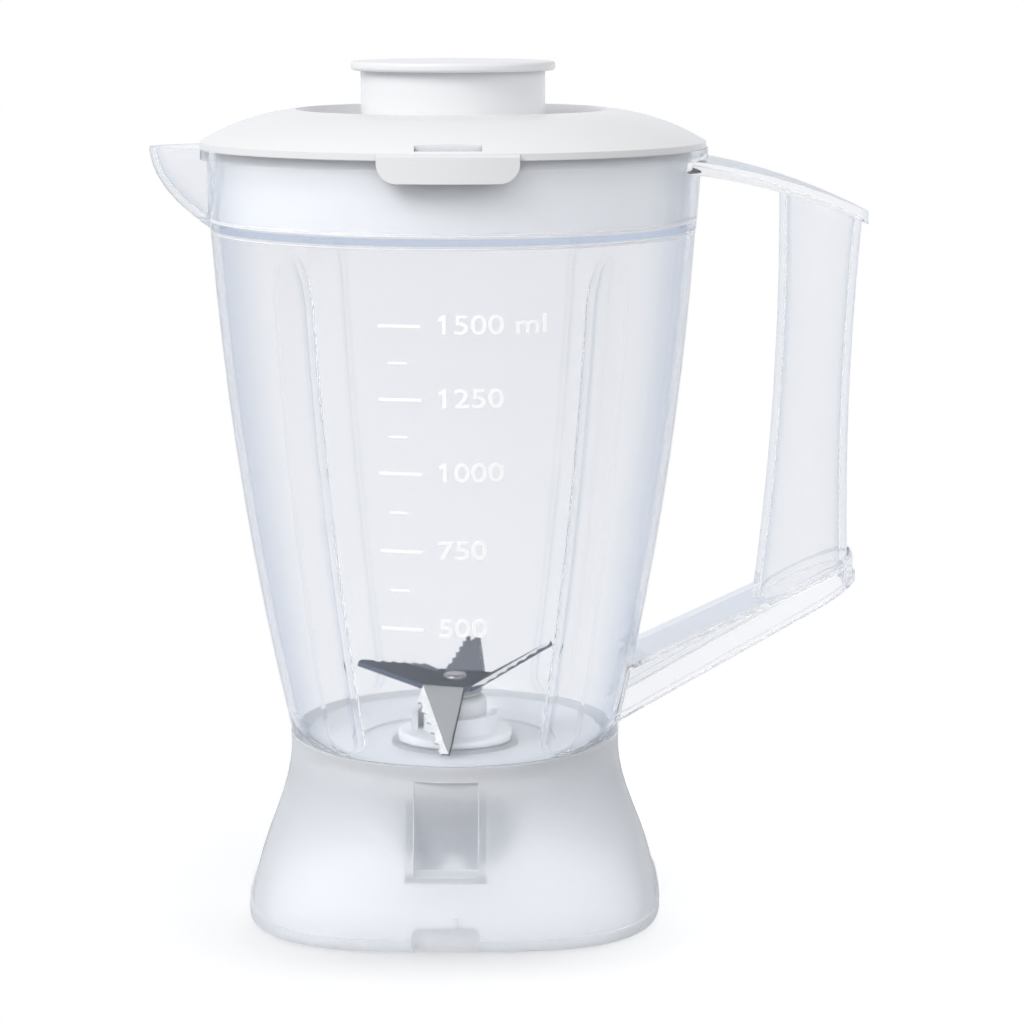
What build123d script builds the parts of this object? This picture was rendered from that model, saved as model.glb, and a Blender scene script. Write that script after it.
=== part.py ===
import os
from math import cos, hypot, pi, sin, sqrt

from build123d import *

# Blender jar, in millimetres. The origin is on the jar's axis in the plane that it stands on,
# +Z is up, the handle points to +X, the pouring lip to -X and the lid's lift tab to -Y.

# Bowl, floor and mouth
WALL = 2.5
SKIRT_HEIGHT = 52.0
BOWL_HEIGHT = 153.0
MOUTH_HEIGHT = 25.4
BOWL_FOOT_RADIUS = 50.1
BOWL_MID_RADIUS = 64.4
SHOULDER_RADIUS = 72.5
MOUTH_FOOT_RADIUS = 72.9
MOUTH_RADIUS = 74.3
SHOULDER_STEP = 2.0
RIM_BEAD_WIDTH = 1.8
RIM_BEAD_HEIGHT = 3.0
FLOOR_DROP = 4.5
FLOOR_THICKNESS = 3.0
FLOOR_PLATE_RADIUS = 30.0
FLOOR_PLATE_STEP = 0.8
FLOOR_ROUND = 12.0

# Flutes, grooves outside with ribs behind them
FLUTE_RADIUS = 9.5
FLUTE_DEPTH = 2.9
FLUTE_FRONT_ANGLE = 40.0
FLUTE_BACK_ANGLE = 37.0
FLUTE_FOOT_GAP = 6.0
FLUTE_TIP_GAP = 4.2
FLUTE_TIP_LENGTH = 15.0

# Pouring lip
SPOUT_REACH = 16.6
SPOUT_HALF_WIDTH = 21.0
SPOUT_ROOT = 16.0
SPOUT_DEPTH = 25.4
SPOUT_WALL = 2.0
SPOUT_CURVE = 1.9
SPOUT_KEEL_SHARE = 0.3
SPOUT_LEVELS = (0.0, 0.35, 0.7, 1.0)

# Skirt
NECK_RADIUS = 50.6
BASE_HALF_WIDTH = 62.2
BASE_SQUARENESS = 3.2
FLARE_TOP_GAP = 5.0
SKIRT_LEVELS = 6
SKIRT_POINTS = 24
FOOT_BAND_WIDTH = 0.8
FOOT_BAND_HEIGHT = 3.2
POCKET_WIDTH = 19.0
POCKET_FLOOR_Z = 20.7
POCKET_PLANE_INSET = 1.6
POCKET_OFFSET = -1.8
NOTCH_WIDTH = 19.8
NOTCH_HEIGHT = 6.5
NOTCH_CORNER = 2.0
NOTCH_DEPTH = 2.4
MARK_WIDTH = 1.0
MARK_OFFSET = 1.2
MARK_HEIGHT = 3.5
MARK_PROUD = 0.5

# Handle
STRAP_END_X = 124.6
STRAP_START_DROP = 1.8
STRAP_END_DROP = 19.3
STRAP_RISE = 3.3
STRAP_THICKNESS = 3.9
STRAP_ROOT_X = 60.0
STRAP_HALF_WIDTH = 29.0
GRIP_TOP_CENTRE_X = 110.4
GRIP_FOOT_CENTRE_X = 106.2
GRIP_TOP_LENGTH = 26.6
GRIP_WAIST_LENGTH = 23.0
GRIP_FOOT_LENGTH = 30.5
GRIP_TOP_WIDTH = 27.0
GRIP_WAIST_WIDTH = 25.0
GRIP_FOOT_WIDTH = 29.0
GRIP_OVERRUN = 13.0
HANDLE_WALL = 2.4
ARM_END_X = 121.3
ARM_WIDTH = 34.0
ARM_CORNER = 12.0
ARM_TOP_RISE = 22.0
ARM_TOP_SLOPE = 0.47
ARM_FOOT_RISE = 6.1
ARM_FOOT_SLOPE = 0.58
ARM_LIP_WIDTH = 0.8
ARM_LIP_HEIGHT = 2.2

# Lid
LID_FIT = 0.4
LID_WALL = 2.2
LID_RADIUS = 75.5
LID_EDGE_HEIGHT = 1.8
LID_RISE = 11.2
LID_SHOULDER_RADIUS = 65.0
LID_SHOULDER_RISE = 7.0
DISH_RADIUS = 47.0
DISH_DEPTH = 6.7
DISH_WALL_LEAN = 2.0
PLUG_DEPTH = 21.5
PLUG_WALL = 2.0
TAB_WIDTH = 39.6
TAB_DEPTH = 6.3
TAB_THICKNESS = 2.0
TAB_CORNER = 5.5
SLOT_WIDTH = 18.8
SLOT_HEIGHT = 2.7
SLOT_RISE = 2.4
SLOT_DEPTH = 4.4

# Filler cap
CAP_RADIUS = 27.5
CAP_WALL = 2.2
CAP_FIT = 0.3
CAP_FLANGE_RADIUS = 30.5
CAP_FLANGE_HEIGHT = 2.7
CAP_TOP_RISE = 25.9
CAP_CROWN = 0.6
CAP_INSERT = 11.0
CAP_LEDGE = 2.4
COLLAR_WALL = 2.0
CAP_FLANGE_ROUND = 1.0

# Blade unit
SHAFT_RADIUS = 4.0
RUNNING_FIT = 0.03
AXIAL_PLAY = 0.1
STEM_RADIUS = 10.8
STEM_FIT = 0.3
STEM_DROP = 17.5
GASKET_RADIUS = 19.4
GASKET_THICKNESS = 1.2
HOUSING_FLANGE_RADIUS = 17.6
HOUSING_FLANGE_HEIGHT = 3.0
HOUSING_FLANGE_ROUND = 1.2
WING_RADIUS = 13.4
WING_WALL = 1.9
WING_HEIGHT = 5.5
WING_GAP_ANGLE = 55.0
WING_GAP_TURN = 215.0
SLEEVE_RADIUS = 9.8
SLEEVE_HEIGHT = 10.9
SLEEVE_ROUND = 2.4
BUSH_RADIUS = 6.0
BUSH_LENGTH = 9.5
BUSH_RELIEF = 0.8
SEAL_HEIGHT = 3.4
SEAL_GROOVE = 0.9
WASHER_RADIUS = 7.2
WASHER_THICKNESS = 0.8
COLLAR_RADIUS = 8.4
COLLAR_HEIGHT = 2.5
COLLAR_ROUND = 0.4
BLADE_THICKNESS = 1.5
BLADE_TURN = -17.0
BLADE_HUB_LENGTH = 17.2
BLADE_HUB_WIDTH = 21.6
BLADE_HUB_CORNER = 1.0
SIDE_ARM_WIDTH = 19.5
SIDE_ARM_REACH = 28.2
RIGHT_ARM_BEND = 30.5
LEFT_ARM_BEND = 15.5
CROSS_ARM_WIDTH = 13.0
CROSS_ARM_LENGTH = 22.8
BACK_ARM_BEND = 15.0
FRONT_ARM_BEND = -49.0
ARM_TIP_WIDTH = 2.8
BACK_TIP_WIDTH = 4.8
BACK_TIP_OFFSET = 4.4
TIP_NOTCH_DEPTH = 3.0
TIP_NOTCH_WIDTH = 2.4
ARM_BELLY_REACH = 5.3
ARM_BELLY = 1.0
TOOTH_PITCH = 3.9
TOOTH_RADIUS = 1.7
TOOTH_DEPTH = 1.1
BEVEL_FALL = 0.3
RIVET_RADIUS = 3.7
RIVET_HEIGHT = 1.5
RIVET_ROUND = 1.2
SPIGOT_RADIUS = 3.0
CIRCLIP_RADIUS = 6.0
CIRCLIP_THICKNESS = 1.0
CIRCLIP_GROOVE = 0.7
CIRCLIP_GAP = 3.0
NUT_RADIUS = 19.0
NUT_HEIGHT = 7.5
COUPLING_RADIUS = 18.5
COUPLING_DISC = 8.0
COUPLING_GAP = 1.0
SHAFT_END_GAP = 2.0
DOG_COUNT = 6
DOG_LENGTH = 5.5
DOG_INNER_RADIUS = 9.0
DOG_ANGLE = 28.0
DOG_RIM_GAP = 1.5

# Heights that follow from the driving sizes
SHOULDER_Z = SKIRT_HEIGHT + BOWL_HEIGHT
MOUTH_Z = SHOULDER_Z + SHOULDER_STEP
RIM_Z = SHOULDER_Z + MOUTH_HEIGHT
FLOOR_Z = SKIRT_HEIGHT - FLOOR_DROP
FLOOR_UNDER_Z = FLOOR_Z - FLOOR_THICKNESS
FLARE_TOP_Z = SKIRT_HEIGHT - FLARE_TOP_GAP
FLANGE_Z = FLOOR_Z + GASKET_THICKNESS
FLANGE_TOP_Z = FLANGE_Z + HOUSING_FLANGE_HEIGHT
SLEEVE_TOP_Z = FLANGE_TOP_Z + SLEEVE_HEIGHT
STEM_FOOT_Z = FLOOR_UNDER_Z - STEM_DROP
UPPER_BUSH_Z = SLEEVE_TOP_Z - SEAL_HEIGHT - BUSH_LENGTH
COLLAR_SEAT_Z = SLEEVE_TOP_Z + AXIAL_PLAY + WASHER_THICKNESS
BLADE_Z = COLLAR_SEAT_Z + COLLAR_HEIGHT
BLADE_TOP_Z = BLADE_Z + BLADE_THICKNESS
CIRCLIP_TOP_Z = STEM_FOOT_Z - AXIAL_PLAY - WASHER_THICKNESS
COUPLING_TOP_Z = CIRCLIP_TOP_Z - CIRCLIP_THICKNESS - COUPLING_GAP
COUPLING_FOOT_Z = COUPLING_TOP_Z - COUPLING_DISC
DISH_Z = RIM_Z + LID_RISE - DISH_DEPTH
LEDGE_Z = DISH_Z - CAP_INSERT

EPS = 0.5
FAR = 300.0


def turned(edges):
    """A solid of revolution about the jar's axis, from edges drawn as (radius, height)."""
    return revolve(Plane.XZ * make_face(edges), Axis.Z)


def ring(outer, inner, low, high):
    """A plain tube on the jar's axis."""
    corners = [(inner, low), (outer, low), (outer, high), (inner, high), (inner, low)]
    return turned(Polyline(*corners).edges())


def disc(radius, low, high):
    """A plain cylinder on the jar's axis."""
    return Pos(0, 0, low) * extrude(Circle(radius), high - low)


def side_prism(edges, width):
    """A closed outline drawn in the XZ plane, spread evenly to both sides of it."""
    return extrude(Plane.XZ * make_face(edges), width / 2, both=True)


def closed(points):
    """The edges of a closed polygon."""
    return Polyline(*points, points[0]).edges()


def circle_through(first, second, third):
    """Centre and radius of the circle through three points, as (x, y, radius)."""
    a, b = second[0] - first[0], second[1] - first[1]
    c, d = third[0] - second[0], third[1] - second[1]
    e = (second[0] ** 2 - first[0] ** 2 + second[1] ** 2 - first[1] ** 2) / 2
    f = (third[0] ** 2 - second[0] ** 2 + third[1] ** 2 - second[1] ** 2) / 2
    x = (e * d - b * f) / (a * d - b * c)
    y = (a * f - e * c) / (a * d - b * c)
    return x, y, hypot(first[0] - x, first[1] - y)


def wedge(angle, turn, low, high):
    """A wedge with its edge on the jar's axis, that opens by an angle about a direction."""
    half = angle / 2 * pi / 180
    reach = (FAR * cos(half), FAR * sin(half))
    plan = make_face(closed([(0, 0), reach, (reach[0], -reach[1])]))
    return Rot(0, 0, turn) * Pos(0, 0, low) * extrude(plan, high - low)


def round_edges(solid, radius):
    """The circular edges of a turned solid that have a given radius, lowest first."""
    circles = solid.edges().filter_by(GeomType.CIRCLE)
    return circles.filter_by(lambda edge: abs(edge.radius - radius) < EPS / 10).sort_by(Axis.Z)


# Bowl

def bowl_radius(z, offset=0.0):
    """Radius of the bowl's side at a height, moved out along its normal by an offset."""
    foot = (BOWL_FOOT_RADIUS, SKIRT_HEIGHT)
    middle = (BOWL_MID_RADIUS, SKIRT_HEIGHT + BOWL_HEIGHT / 2)
    centre_r, centre_z, size = circle_through(foot, middle, (SHOULDER_RADIUS, SHOULDER_Z))
    return centre_r + sqrt((size + offset) ** 2 - (z - centre_z) ** 2)


def bowl_side(low, high, offset=0.0):
    """The arc of the bowl's side between two heights."""
    heights = [low, (low + high) / 2, high]
    return ThreePointArc(*[(bowl_radius(z, offset), z) for z in heights])


def bowl_outside():
    """The bowl's outer form as a full solid, with floor, shoulder and rim bead."""
    bead_z = RIM_Z - RIM_BEAD_HEIGHT
    bead = MOUTH_RADIUS + RIM_BEAD_WIDTH
    top = [(SHOULDER_RADIUS, SHOULDER_Z), (MOUTH_FOOT_RADIUS, MOUTH_Z), (MOUTH_RADIUS, bead_z),
           (bead, bead_z), (bead, RIM_Z), (0, RIM_Z), (0, FLOOR_UNDER_Z),
           (BOWL_FOOT_RADIUS, FLOOR_UNDER_Z), (BOWL_FOOT_RADIUS, SKIRT_HEIGHT)]
    return turned([bowl_side(SKIRT_HEIGHT, SHOULDER_Z), *Polyline(*top).edges()])


def bowl_inside():
    """The space in the bowl, up past the rim, with a stepped plate in a rounded floor."""
    plate_z = FLOOR_Z + FLOOR_PLATE_STEP
    round_top = plate_z + FLOOR_ROUND
    wall_foot = (bowl_radius(round_top, -WALL), round_top)
    floor_edge = (wall_foot[0] - FLOOR_ROUND, plate_z)
    shoulder = (bowl_radius(SHOULDER_Z, -WALL), SHOULDER_Z)
    floor = [(0, FLOOR_Z), (FLOOR_PLATE_RADIUS, FLOOR_Z), (FLOOR_PLATE_RADIUS, plate_z), floor_edge]
    mouth = [shoulder, (MOUTH_FOOT_RADIUS - WALL, MOUTH_Z), (MOUTH_RADIUS - WALL, RIM_Z),
             (MOUTH_RADIUS - WALL, RIM_Z + EPS), (0, RIM_Z + EPS), (0, FLOOR_Z)]
    corner = TangentArc(floor_edge, wall_foot, tangent=(1, 0))
    side = bowl_side(round_top, SHOULDER_Z, -WALL)
    return turned([*Polyline(*floor).edges(), corner, side, *Polyline(*mouth).edges()])


def flute(size, angle):
    """A round bar along the bowl's side that leaves it at the top, which gives a pointed tip."""
    stand_off = FLUTE_RADIUS - FLUTE_DEPTH
    low = SKIRT_HEIGHT + FLUTE_FOOT_GAP
    tip = SHOULDER_Z - FLUTE_TIP_GAP
    main = bowl_side(low, tip - FLUTE_TIP_LENGTH, stand_off)
    run_out = TangentArc(main @ 1, (bowl_radius(tip, FLUTE_RADIUS), tip), tangent=main % 1)
    path = Plane.XZ * (main + run_out)
    start = Plane(path @ 0, z_dir=path % 0)
    bar = sweep(start * Circle(size), path=path) + Pos(*(path @ 0)) * Sphere(size)
    return Rot(0, 0, angle) * bar


def flute_angles():
    """Places of the four flutes round the axis, the front pair first."""
    front = [-90 - FLUTE_FRONT_ANGLE, -90 + FLUTE_FRONT_ANGLE]
    return front + [90 - FLUTE_BACK_ANGLE, 90 + FLUTE_BACK_ANGLE]


def spout_form(inset):
    """The pouring lip, a beak that narrows from the rim down to the shoulder."""
    centre_x = -(MOUTH_RADIUS - SPOUT_ROOT)
    keel_foot = RIM_Z - SPOUT_DEPTH + inset
    sections = []
    for share in SPOUT_LEVELS:
        z = RIM_Z - share * (RIM_Z - keel_foot)
        swell = 1 - share ** SPOUT_CURVE
        length = SPOUT_ROOT - WALL + (SPOUT_REACH + WALL) * swell - inset
        width = SPOUT_HALF_WIDTH * (SPOUT_KEEL_SHARE + (1 - SPOUT_KEEL_SHARE) * swell) - inset
        sections.append(Pos(centre_x, 0, z) * Ellipse(length, width))
    return loft(sections)


# Skirt

def skirt_plan(z, inset):
    """The skirt's plan at a height: round at the neck and near square at the foot."""
    share = min(1.0, max(0.0, (FLARE_TOP_Z - z) / FLARE_TOP_Z))
    flare = share * share * (3 - 2 * share)
    half = NECK_RADIUS + (BASE_HALF_WIDTH - NECK_RADIUS) * flare - inset
    power = 2 / (2 + (BASE_SQUARENESS - 2) * flare)
    points = []
    for step in range(SKIRT_POINTS):
        turn = 2 * pi * step / SKIRT_POINTS
        x, y = cos(turn), sin(turn)
        points.append((half * abs(x) ** power * (1 if x > 0 else -1),
                       half * abs(y) ** power * (1 if y > 0 else -1)))
    return Pos(0, 0, z) * make_face(Spline(*points, periodic=True))


def skirt_form(top, inset):
    """The skirt's flare as a full solid from the foot to a height."""
    heights = [top * step / (SKIRT_LEVELS - 1) for step in range(SKIRT_LEVELS)]
    return loft([skirt_plan(z, inset) for z in heights])


def front_block(width, offset, near, far, low, high):
    """A box at the front of the skirt, between two distances from the axis."""
    block = Box(width, far - near, high - low)
    return Pos(offset, -(near + far) / 2, (low + high) / 2) * block


def foot_notch():
    """The key notch in the foot's front face, a recess with rounded upper corners."""
    shape = Pos(POCKET_OFFSET, 0) * Rectangle(NOTCH_WIDTH, 2 * NOTCH_HEIGHT)
    shape = fillet(shape.vertices(), NOTCH_CORNER)
    cutter = extrude(Plane.XZ * shape, BASE_HALF_WIDTH + FOOT_BAND_WIDTH + EPS)
    return cutter & front_block(FAR, 0, BASE_HALF_WIDTH - NOTCH_DEPTH, FAR, -EPS, FAR)


# Handle

def strap_top(drop):
    """The strap's crowned upper line, lowered by a drop."""
    start = (STRAP_ROOT_X, RIM_Z - STRAP_START_DROP - drop)
    end = (STRAP_END_X, RIM_Z - STRAP_END_DROP - drop)
    middle = ((start[0] + end[0]) / 2, (start[1] + end[1]) / 2 + STRAP_RISE)
    return ThreePointArc(start, middle, end)


def rounded_end(end_x, width, corner):
    """Plan of an arm that runs out from the axis and ends with rounded corners."""
    plan = Pos(end_x / 2, 0) * Rectangle(end_x, width)
    outer = plan.vertices().sort_by(Axis.X)[-2:]
    return extrude(fillet(outer, corner), FAR)


def strap():
    """The strap from the rim to the top of the grip, a half oval in plan."""
    top, under = strap_top(0), strap_top(STRAP_THICKNESS)
    outline = [top, under, Line(top @ 0, under @ 0), Line(top @ 1, under @ 1)]
    plan = Pos(STRAP_ROOT_X, 0) * Ellipse(STRAP_END_X - STRAP_ROOT_X, STRAP_HALF_WIDTH)
    return side_prism(outline, 2 * STRAP_HALF_WIDTH) & extrude(plan, FAR)


def above_strap(drop):
    """All that lies above the strap's upper line, lowered by a drop."""
    line = strap_top(drop)
    sky = [line @ 1, (STRAP_END_X + FAR, (line @ 1).Y), (STRAP_END_X + FAR, FAR), ((line @ 0).X, FAR),
           line @ 0]
    return side_prism([line, *Polyline(*sky).edges()], FAR)


def arm_height(rise, slope, x):
    """Height of a sloping edge of the lower arm."""
    return SKIRT_HEIGHT + rise + slope * (x - BOWL_FOOT_RADIUS)


def arm_band(end_x, low, high, width):
    """A sloping prism between two edges of the lower arm, each (rise, slope)."""
    corners = [(x, arm_height(*edge, x)) for edge, x in
               ((low, 0), (low, end_x), (high, end_x), (high, 0))]
    return side_prism(closed(corners), width)


def arm_outside():
    """The lower arm's outer form, with the lip along its lower edge."""
    top = (ARM_TOP_RISE, ARM_TOP_SLOPE)
    foot = (ARM_FOOT_RISE, ARM_FOOT_SLOPE)
    lip_top = (ARM_FOOT_RISE + ARM_LIP_HEIGHT, ARM_FOOT_SLOPE)
    body = arm_band(ARM_END_X, foot, top, ARM_WIDTH) & rounded_end(ARM_END_X, ARM_WIDTH, ARM_CORNER)
    lip_end = ARM_END_X + ARM_LIP_WIDTH
    lip_width = ARM_WIDTH + 2 * ARM_LIP_WIDTH
    lip = arm_band(lip_end, foot, lip_top, lip_width)
    return body + (lip & rounded_end(lip_end, lip_width, ARM_CORNER + ARM_LIP_WIDTH))


def arm_channel():
    """The hollow of the lower arm, open below."""
    roof = (ARM_TOP_RISE - HANDLE_WALL, ARM_TOP_SLOPE)
    below = (ARM_FOOT_RISE - ARM_WIDTH, ARM_FOOT_SLOPE)
    end_x = ARM_END_X - HANDLE_WALL
    width = ARM_WIDTH - 2 * HANDLE_WALL
    return arm_band(end_x, below, roof, width) & rounded_end(end_x, width, ARM_CORNER - HANDLE_WALL)


def grip_form(inset):
    """The grip, an oval bar with a waist that leans outwards, drawn past both its ends."""
    foot_z = arm_height(ARM_TOP_RISE, ARM_TOP_SLOPE, GRIP_FOOT_CENTRE_X)
    top_z = RIM_Z - STRAP_END_DROP
    lean = (GRIP_TOP_CENTRE_X - GRIP_FOOT_CENTRE_X) / (top_z - foot_z)
    sections = []
    for z, length, width in ((foot_z - GRIP_OVERRUN, GRIP_FOOT_LENGTH, GRIP_FOOT_WIDTH),
                             ((foot_z + top_z) / 2, GRIP_WAIST_LENGTH, GRIP_WAIST_WIDTH),
                             (top_z + GRIP_OVERRUN, GRIP_TOP_LENGTH, GRIP_TOP_WIDTH)):
        x = GRIP_FOOT_CENTRE_X + lean * (z - foot_z)
        sections.append(Pos(x, 0, z) * Ellipse(length / 2 - inset, width / 2 - inset))
    return loft(sections)


def jar_body():
    """Bowl, pouring lip, handle and skirt, one clear moulding."""
    bowl = bowl_outside()
    cavity = bowl_inside()
    arm_roof = (ARM_TOP_RISE - HANDLE_WALL / 2, ARM_TOP_SLOPE)
    under_arm = arm_band(FAR, (-FAR, 0), arm_roof, FAR)
    grip = grip_form(0) - above_strap(STRAP_THICKNESS / 2) - under_arm
    skirt = skirt_form(SKIRT_HEIGHT, 0)
    foot_band = extrude(skirt_plan(0, -FOOT_BAND_WIDTH), FOOT_BAND_HEIGHT)
    body = bowl + spout_form(0) + strap() + grip + arm_outside() + skirt + foot_band
    body -= cavity
    body -= spout_form(SPOUT_WALL)
    body -= arm_channel() - bowl - skirt
    body -= grip_form(HANDLE_WALL) - above_strap(STRAP_THICKNESS) - arm_band(FAR, (-FAR, 0), (0, 0), FAR)
    body -= skirt_form(FLOOR_UNDER_Z, WALL)
    pocket_near = NECK_RADIUS - POCKET_PLANE_INSET
    pocket_wall = front_block(POCKET_WIDTH + 2 * WALL, POCKET_OFFSET, pocket_near - WALL,
                              BASE_HALF_WIDTH, POCKET_FLOOR_Z - WALL, FLOOR_Z)
    body += pocket_wall & skirt
    body -= front_block(POCKET_WIDTH, POCKET_OFFSET, pocket_near, FAR, POCKET_FLOOR_Z, FLOOR_Z)
    notch_near = BASE_HALF_WIDTH - NOTCH_DEPTH
    notch_wall = front_block(NOTCH_WIDTH + 2 * WALL, POCKET_OFFSET, notch_near - WALL, BASE_HALF_WIDTH, 0,
                             NOTCH_HEIGHT + WALL)
    body += notch_wall & skirt
    body -= foot_notch()
    body += front_block(MARK_WIDTH, MARK_OFFSET, BASE_HALF_WIDTH - WALL, BASE_HALF_WIDTH + MARK_PROUD,
                        NOTCH_HEIGHT, NOTCH_HEIGHT + MARK_HEIGHT)
    for angle in flute_angles():
        body += flute(FLUTE_RADIUS + WALL, angle) & bowl
        body -= flute(FLUTE_RADIUS, angle)
    return body - disc(STEM_RADIUS + STEM_FIT, FLOOR_UNDER_Z - EPS, FLOOR_Z + EPS)


# Lid

def plug_radius(z):
    """Outer radius of the lid's plug, which follows the mouth's taper with a clearance."""
    share = (z - MOUTH_Z) / (RIM_Z - MOUTH_Z)
    return MOUTH_FOOT_RADIUS + (MOUTH_RADIUS - MOUTH_FOOT_RADIUS) * share - WALL - LID_FIT


def lid_tab():
    """The lift tab that hangs from the lid's front edge, outside the rim bead."""
    near = MOUTH_RADIUS + RIM_BEAD_WIDTH + LID_FIT
    far = near + TAB_THICKNESS
    edge_top = RIM_Z + LID_EDGE_HEIGHT
    section = [(near, RIM_Z - TAB_DEPTH), (far, RIM_Z - TAB_DEPTH), (far, RIM_Z + LID_EDGE_HEIGHT / 2),
               (LID_RADIUS - EPS, edge_top), (LID_RADIUS - LID_WALL, RIM_Z), (near, RIM_Z)]
    outline = Pos(0, RIM_Z) * Rectangle(TAB_WIDTH, 2 * TAB_DEPTH)
    outline = fillet(outline.vertices(), TAB_CORNER)
    return turned(closed(section)) & extrude(Plane.XZ * outline, FAR)


def lid():
    """The white lid: dome, dish, collar for the cap and plug skirt in one moulding."""
    plug_foot = RIM_Z - PLUG_DEPTH
    dome = [(LID_RADIUS, RIM_Z + LID_EDGE_HEIGHT), (LID_SHOULDER_RADIUS, RIM_Z + LID_SHOULDER_RISE),
            (DISH_RADIUS, RIM_Z + LID_RISE)]
    centre_r, centre_z, size = circle_through(*dome)
    under = []
    under_start = DISH_RADIUS + LID_WALL
    under_end = plug_radius(RIM_Z) - PLUG_WALL
    for radius in (under_start, (under_start + under_end) / 2, under_end):
        under.append((radius, centre_z + sqrt((size - LID_WALL) ** 2 - (radius - centre_r) ** 2)))
    hole = CAP_RADIUS + CAP_FIT
    ledge = CAP_RADIUS - CAP_LEDGE
    dish_foot = DISH_RADIUS - DISH_WALL_LEAN
    inside = [dome[2], (dish_foot, DISH_Z), (hole, DISH_Z), (hole, LEDGE_Z), (ledge, LEDGE_Z),
              (ledge, LEDGE_Z - LID_WALL), (hole + COLLAR_WALL, LEDGE_Z - LID_WALL),
              (hole + COLLAR_WALL, DISH_Z - LID_WALL), (dish_foot + LID_WALL, DISH_Z - LID_WALL), under[0]]
    outside = [under[2], (plug_radius(plug_foot) - PLUG_WALL, plug_foot), (plug_radius(plug_foot), plug_foot),
               (plug_radius(RIM_Z), RIM_Z), (LID_RADIUS, RIM_Z), dome[0]]
    shell = turned([ThreePointArc(*dome), *Polyline(*inside).edges(), ThreePointArc(*under),
                    *Polyline(*outside).edges()])
    slot = front_block(SLOT_WIDTH, 0, LID_RADIUS - SLOT_DEPTH, FAR, RIM_Z + SLOT_RISE,
                       RIM_Z + SLOT_RISE + SLOT_HEIGHT)
    return shell + lid_tab() - slot


def filler_cap():
    """The hollow top-hat cap, open below, that stands on the ledge in the lid's collar."""
    crown = RIM_Z + CAP_TOP_RISE
    flange_top = crown - CAP_CROWN
    flange_foot = flange_top - CAP_FLANGE_HEIGHT
    inner = CAP_RADIUS - CAP_WALL
    outline = [(CAP_FLANGE_RADIUS, flange_top), (CAP_FLANGE_RADIUS, flange_foot), (CAP_RADIUS, flange_foot),
               (CAP_RADIUS, LEDGE_Z), (inner, LEDGE_Z), (inner, flange_top - CAP_WALL),
               (0, flange_top - CAP_WALL), (0, crown)]
    half = CAP_FLANGE_RADIUS / 2
    top = ThreePointArc((0, crown), (half, crown - CAP_CROWN / 4), (CAP_FLANGE_RADIUS, flange_top))
    cap = turned([top, *Polyline(*outline).edges()])
    return fillet(round_edges(cap, CAP_FLANGE_RADIUS), CAP_FLANGE_ROUND)


# Blade unit, from the floor up

def housing_gasket():
    """The soft ring between the jar's floor and the housing."""
    return ring(GASKET_RADIUS, STEM_RADIUS, FLOOR_Z, FLANGE_Z)


def bearing_housing():
    """Flange, grip wings and sleeve above the floor, with a hollow stem through it."""
    flange = disc(HOUSING_FLANGE_RADIUS, FLANGE_Z, FLANGE_TOP_Z)
    flange = fillet(round_edges(flange, HOUSING_FLANGE_RADIUS), HOUSING_FLANGE_ROUND)
    wing_top = FLANGE_TOP_Z + WING_HEIGHT
    wings = ring(WING_RADIUS, WING_RADIUS - WING_WALL, FLANGE_TOP_Z - EPS, wing_top)
    for turn in (WING_GAP_TURN, WING_GAP_TURN + 180):
        wings -= wedge(WING_GAP_ANGLE, turn, FLANGE_TOP_Z, wing_top + EPS)
    sleeve = disc(SLEEVE_RADIUS, FLANGE_TOP_Z - EPS, SLEEVE_TOP_Z)
    housing = flange + wings + fillet(round_edges(sleeve, SLEEVE_RADIUS)[-1], SLEEVE_ROUND)
    housing += disc(STEM_RADIUS, STEM_FOOT_Z, FLANGE_Z + EPS)
    housing -= disc(SHAFT_RADIUS + BUSH_RELIEF, STEM_FOOT_Z - EPS, SLEEVE_TOP_Z + EPS)
    housing -= disc(BUSH_RADIUS, STEM_FOOT_Z - EPS, STEM_FOOT_Z + BUSH_LENGTH)
    return housing - disc(BUSH_RADIUS, UPPER_BUSH_Z, SLEEVE_TOP_Z + EPS)


def shaft_sleeve(low, high):
    """A plain ring that fills the housing's bore and lets the shaft run in it."""
    return ring(BUSH_RADIUS, SHAFT_RADIUS + RUNNING_FIT, low, high)


def upper_bush():
    """Sintered bush under the seal."""
    return shaft_sleeve(UPPER_BUSH_Z, UPPER_BUSH_Z + BUSH_LENGTH)


def lower_bush():
    """Sintered bush at the foot of the stem."""
    return shaft_sleeve(STEM_FOOT_Z, STEM_FOOT_Z + BUSH_LENGTH)


def shaft_seal():
    """Rubber seal with two lips and a groove between them, above the upper bush."""
    seal_foot = UPPER_BUSH_Z + BUSH_LENGTH
    groove_foot = seal_foot + (SEAL_HEIGHT - SEAL_GROOVE) / 2
    groove = ring(SHAFT_RADIUS + SEAL_GROOVE, SHAFT_RADIUS, groove_foot, groove_foot + SEAL_GROOVE)
    return shaft_sleeve(seal_foot, SLEEVE_TOP_Z) - groove


def lock_nut():
    """Hexagon nut on the stem that clamps the housing to the floor from below."""
    nut = Pos(0, 0, FLOOR_UNDER_Z - NUT_HEIGHT) * extrude(RegularPolygon(NUT_RADIUS, 6), NUT_HEIGHT)
    return nut - disc(STEM_RADIUS, FLOOR_UNDER_Z - NUT_HEIGHT - EPS, FLOOR_UNDER_Z + EPS)


def thrust_washer(low):
    """A flat washer on the shaft."""
    return ring(WASHER_RADIUS, SHAFT_RADIUS, low, low + WASHER_THICKNESS)


def upper_thrust_washer():
    """Washer between the housing's sleeve and the blade collar."""
    return thrust_washer(COLLAR_SEAT_Z - WASHER_THICKNESS)


def lower_thrust_washer():
    """Washer between the stem and the circlip."""
    return thrust_washer(CIRCLIP_TOP_Z)


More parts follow.
